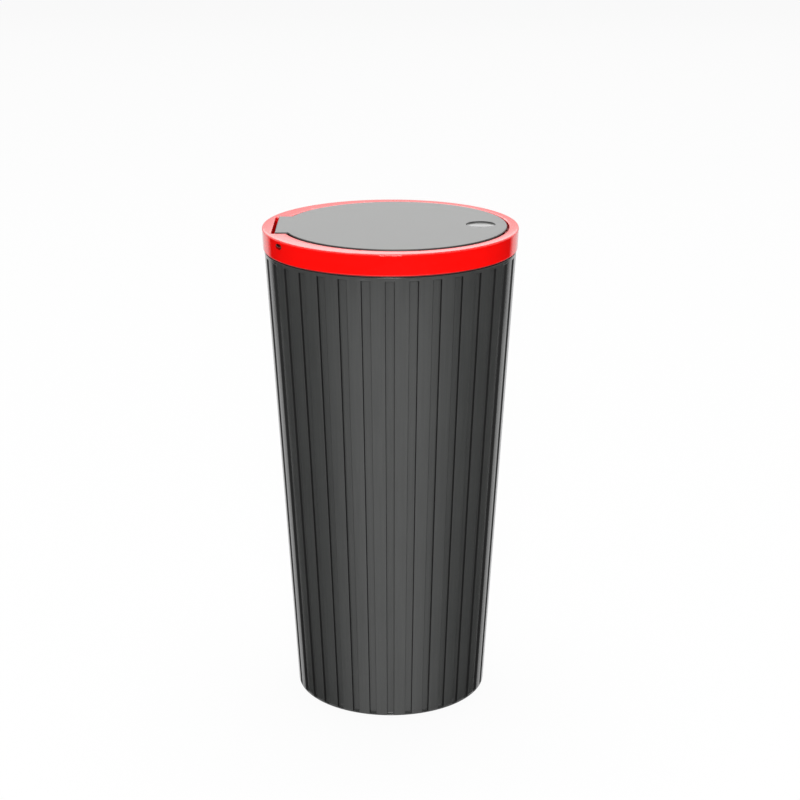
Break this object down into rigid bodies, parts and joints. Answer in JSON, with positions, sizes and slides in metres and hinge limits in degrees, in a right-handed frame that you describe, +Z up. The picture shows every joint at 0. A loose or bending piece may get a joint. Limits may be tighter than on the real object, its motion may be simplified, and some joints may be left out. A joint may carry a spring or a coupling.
{
  "type": "car trash bin",
  "caption": "Tapered fluted bin for a car cup holder, with a lift-off ring and a round press-to-open lid hinged in it",
  "frame": {"origin": "centre of the foot, on the surface the bin stands on", "axes": "+Z up the bin's own axis, -X to the lid's hinge, +X to its finger dimple, -Y to the side with the open end of the pin hole"},
  "size_m": [0.085, 0.085, 0.1635],
  "materials": {
    "body_plastic": "satin charcoal",
    "ring_plastic": "glossy red",
    "lid_plastic": "fine-grained grey",
    "pin_steel": "drawn steel",
    "spring_steel": "drawn spring wire"
  },
  "bodies": {
    "bin": {"bin_body": "body_plastic"},
    "ring": {"lid_ring": "ring_plastic", "hinge_pin": "pin_steel", "hinge_spring": "spring_steel", "latch_wire": "spring_steel"},
    "flap": {"lid": "lid_plastic"}
  },
  "joints": [
    {"name": "ring_lift", "type": "slide", "parent": "bin", "child": "ring", "axis": [0, 0, 1], "range_m": [0, 0.03]},
    {"name": "lid_hinge", "type": "hinge", "parent": "ring", "child": "flap", "pos_m": [-0.0357, 0, 0.1611], "axis": [0, -1, 0], "range_deg": [-1.5, 80], "deforming": ["hinge_spring", "latch_wire"]}
  ]
}
